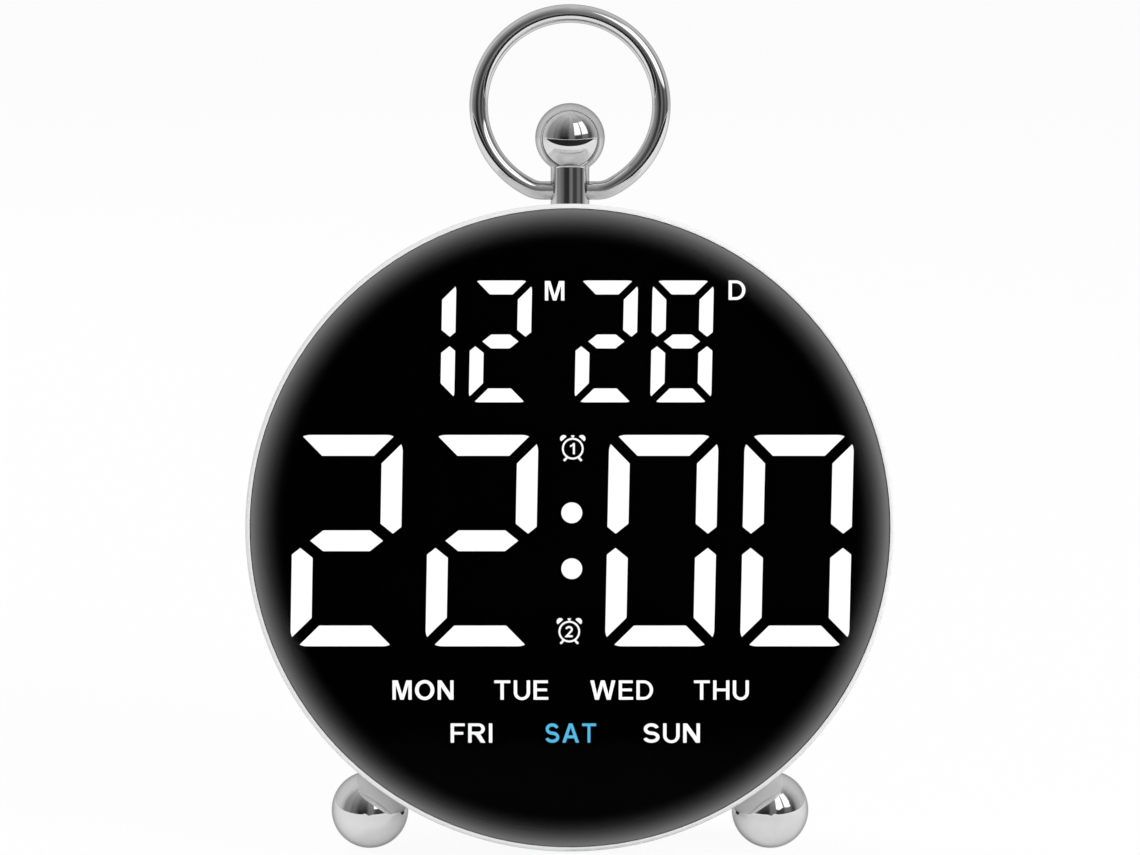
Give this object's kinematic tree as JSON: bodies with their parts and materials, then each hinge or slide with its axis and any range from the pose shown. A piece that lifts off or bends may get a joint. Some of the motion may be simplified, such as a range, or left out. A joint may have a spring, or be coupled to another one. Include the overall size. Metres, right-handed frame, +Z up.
{
  "type": "desk alarm clock",
  "caption": "Round desk alarm clock with a lit bar display behind a smoked lens, two ball feet, a ball-topped post and a hinged carrying ring; setting keys and battery door behind.",
  "frame": {"origin": "centre of the clock's box on the plane that it stands on", "axes": "+Z up, -Y towards the viewer of the display, +X to the viewer's right"},
  "size_m": [0.11, 0.046, 0.1457],
  "materials": {
    "white_shell": "moulded, satin gloss",
    "smoked_lens": "smoked acrylic, polished",
    "black_tape": "foam tape",
    "black_film": "printed film",
    "reflector_white": "moulded",
    "light_diffuser": "lit diffuser",
    "lamp_chip": "lamp chip",
    "circuit_board": "lacquered board",
    "chip_black": "moulded",
    "screw_steel": "zinc plated",
    "bright_metal": "nickel plated",
    "chrome_plate": "polished chrome plate",
    "pad_rubber": "moulded rubber",
    "speaker_metal": "pressed and painted",
    "cone_paper": "pressed paper",
    "switch_black": "moulded",
    "button_plastic": "moulded, satin gloss",
    "cell_jacket": "printed jacket",
    "plug_nylon": "moulded nylon",
    "ribbon_grey": "flat cable"
  },
  "bodies": {
    "case": {"alarm_sign_windows": "light_diffuser", "back_cover": "white_shell", "battery_cells": "cell_jacket", "battery_contacts": "bright_metal", "board_screws": "screw_steel", "button_board": "circuit_board", "button_board_screws": "screw_steel", "button_plug": "plug_nylon", "case_body": "white_shell", "case_screws": "screw_steel", "clock_chip": "chip_black", "clock_crystal": "bright_metal", "colon_dots": "light_diffuser", "day_tens_bars": "light_diffuser", "day_units_bars": "light_diffuser", "display_board": "circuit_board", "display_plug": "plug_nylon", "driver_chip": "chip_black", "foot_nuts": "screw_steel", "foot_washers": "screw_steel", "handle_post": "chrome_plate", "hours_tens_bars": "light_diffuser", "hours_units_bars": "light_diffuser", "left_foot": "chrome_plate", "lens": "smoked_lens", "lens_adhesive": "black_tape", "letter_windows": "light_diffuser", "light_chips": "lamp_chip", "mask_film": "black_film", "minutes_tens_bars": "light_diffuser", "minutes_units_bars": "light_diffuser", "month_tens_bars": "light_diffuser", "month_units_bars": "light_diffuser", "post_nut": "screw_steel", "post_washer": "screw_steel", "power_socket_shell": "bright_metal", "power_socket_tongue": "switch_black", "rear_rest_pad": "pad_rubber", "reflector": "reflector_white", "ribbon_cable": "ribbon_grey", "right_foot": "chrome_plate", "speaker_basket": "speaker_metal", "speaker_cone": "cone_paper", "speaker_gasket": "black_tape", "speaker_magnet": "speaker_metal", "switch_bodies": "switch_black", "weekday_windows": "light_diffuser"},
    "ring": {"ring_handle": "chrome_plate"},
    "door": {"battery_door": "white_shell"},
    "set_key": {"set_button": "button_plastic", "set_switch_plunger": "switch_black"},
    "mode_key": {"mode_button": "button_plastic", "mode_switch_plunger": "switch_black"},
    "down_key": {"down_button": "button_plastic", "down_switch_plunger": "switch_black"},
    "up_key": {"up_button": "button_plastic", "up_switch_plunger": "switch_black"},
    "alarm_key": {"alarm_button": "button_plastic", "alarm_switch_plunger": "switch_black"}
  },
  "joints": [
    {"name": "ring_swing", "type": "hinge", "parent": "case", "child": "ring", "pos_m": [0, 0.00673, 0.11382], "axis": [-1, 0, 0], "range_deg": [-98, 103]},
    {"name": "door_tilt", "type": "hinge", "parent": "case", "child": "door", "pos_m": [0, 0.01245, 0.01463], "axis": [-1, 0, 0], "range_deg": [0, 85]},
    {"name": "set_press", "type": "slide", "parent": "case", "child": "set_key", "axis": [0, -0.9945, 0.1045], "range_m": [0, 0.0006], "stiffness_N_per_m": 2000, "springref_m": -0.0002},
    {"name": "mode_press", "type": "slide", "parent": "case", "child": "mode_key", "axis": [0, -0.9945, 0.1045], "range_m": [0, 0.0006], "stiffness_N_per_m": 2000, "springref_m": -0.0002},
    {"name": "down_press", "type": "slide", "parent": "case", "child": "down_key", "axis": [0, -0.9945, 0.1045], "range_m": [0, 0.0006], "stiffness_N_per_m": 2000, "springref_m": -0.0002},
    {"name": "up_press", "type": "slide", "parent": "case", "child": "up_key", "axis": [0, -0.9945, 0.1045], "range_m": [0, 0.0006], "stiffness_N_per_m": 2000, "springref_m": -0.0002},
    {"name": "alarm_press", "type": "slide", "parent": "case", "child": "alarm_key", "axis": [0, -0.9945, 0.1045], "range_m": [0, 0.0006], "stiffness_N_per_m": 2000, "springref_m": -0.0002}
  ]
}
